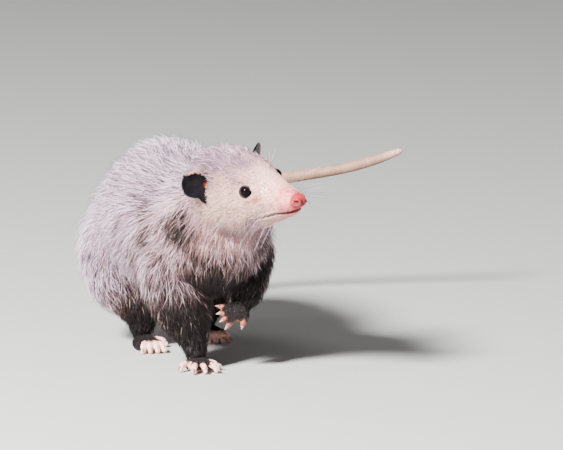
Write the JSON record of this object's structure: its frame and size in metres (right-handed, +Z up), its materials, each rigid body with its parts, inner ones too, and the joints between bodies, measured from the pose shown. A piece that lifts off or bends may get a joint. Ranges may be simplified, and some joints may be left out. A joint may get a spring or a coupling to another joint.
{
  "type": "opossum model",
  "caption": "Life-size still model of a walking opossum: pointed pale head turned aside, dark round ears, long bristly grey coat, one forefoot lifted, bare curved tail.",
  "frame": {"origin": "on the floor under the middle of the model's bounding box", "axes": "+Z up, -Y the way the animal walks, +X its left side, to which its head and tail turn"},
  "size_m": [0.3342, 0.454, 0.2052],
  "materials": {
    "coat": "long silver-grey guard hair over dark-tipped underfur",
    "face": "short creamy-white fur",
    "dark_fur": "short blackish-brown fur",
    "ear": "thin bare black skin",
    "nose": "moist bare pink skin",
    "eye": "glossy black",
    "paw": "bare pink skin with pale claws",
    "tail": "bare ringed scaly skin"
  },
  "bodies": {
    "root": {"torso": "coat", "neck": "coat", "head": "face", "nose": "nose", "eye_left": "eye", "eye_right": "eye", "left_ear": "ear", "right_ear": "ear", "left_foreleg": "dark_fur", "right_foreleg": "dark_fur", "left_hindleg": "dark_fur", "right_hindleg": "dark_fur", "left_forepaw": "paw", "right_forepaw": "paw", "left_hindpaw": "paw", "right_hindpaw": "paw", "tail_1": "tail", "tail_2": "tail", "tail_3": "tail", "tail_4": "tail"}
  },
  "joints": []
}
